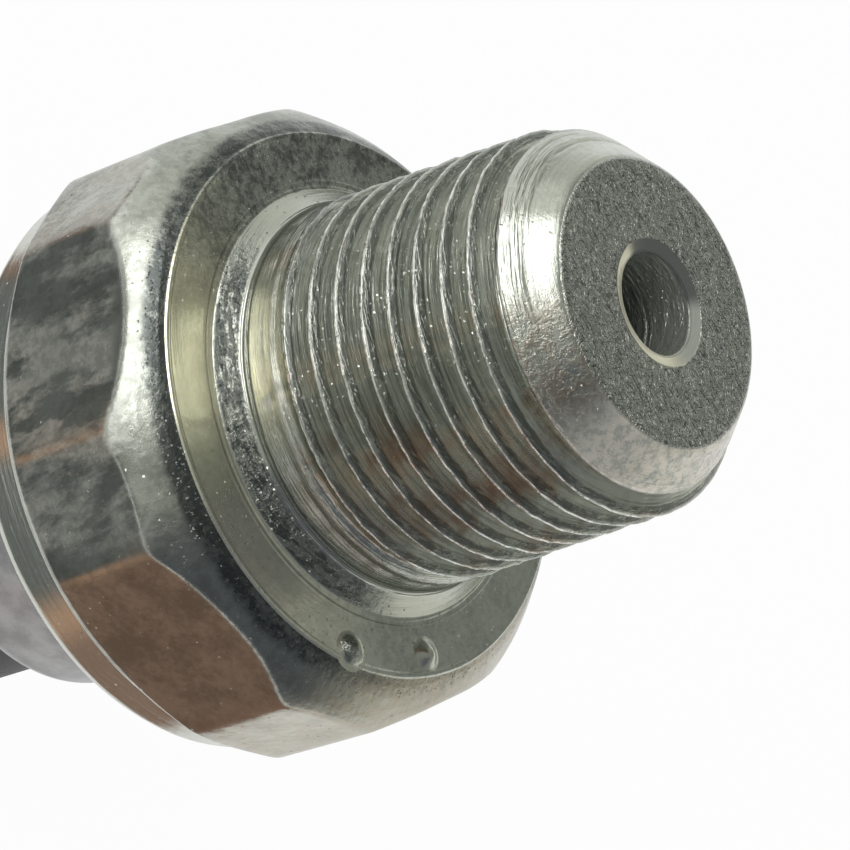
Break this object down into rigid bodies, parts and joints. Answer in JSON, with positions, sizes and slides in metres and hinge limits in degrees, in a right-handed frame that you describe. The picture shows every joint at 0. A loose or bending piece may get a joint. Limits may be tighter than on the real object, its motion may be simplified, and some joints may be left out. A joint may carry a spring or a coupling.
{
  "type": "oil pressure sender",
  "caption": "Oil pressure sender: hexagon body with a tapered pipe thread and pressure bore, crimped shell and round socket with blade terminals.",
  "frame": {"origin": "on the axis, in the plane of the hexagon's front face, where the threaded nose begins", "axes": "+Z along the axis and out of the nose; the socket opens towards -Z; +X square to one wide flat of the hexagon and along the row of terminals; +Y towards the latch ramp"},
  "size_m": [0.027, 0.0282, 0.0497],
  "materials": {
    "zinc_plated_steel": "bright zinc plating over turned and forged steel, slightly dulled and grainy",
    "bright_shell": "smooth bright nickel plating on drawn steel",
    "washer_steel": "plain stamped steel",
    "seal_rubber": "matt black rubber",
    "alumina": "white sintered alumina",
    "glass_frit": "fused grey glass frit",
    "pin_wire": "tinned wire",
    "spacer_plastic": "natural moulded plastic",
    "board_laminate": "green solder mask on glass laminate",
    "chip_resin": "black moulding resin",
    "capacitor_ceramic": "brown chip capacitor body",
    "terminal_tin": "bright tin plating on stamped brass",
    "connector_plastic": "black glass-filled plastic, lightly textured",
    "potting_epoxy": "glossy black epoxy"
  },
  "bodies": {
    "root": {"port_body": "zinc_plated_steel", "pressure_seal": "seal_rubber", "sensor_diaphragm": "alumina", "bond_ring": "glass_frit", "sensor_substrate": "alumina", "sense_pin_1": "pin_wire", "sense_pin_2": "pin_wire", "sense_pin_3": "pin_wire", "sense_pin_4": "pin_wire", "backing_washer": "washer_steel", "flange_gasket": "seal_rubber", "connector_shell": "bright_shell", "spacer_ring": "spacer_plastic", "circuit_board": "board_laminate", "signal_chip": "chip_resin", "capacitor_1": "capacitor_ceramic", "capacitor_2": "capacitor_ceramic", "capacitor_3": "capacitor_ceramic", "resistor_1": "chip_resin", "resistor_2": "chip_resin", "terminal_1": "terminal_tin", "terminal_2": "terminal_tin", "terminal_3": "terminal_tin", "connector_insert": "connector_plastic", "insert_seal": "seal_rubber", "terminal_potting": "potting_epoxy"}
  },
  "joints": []
}
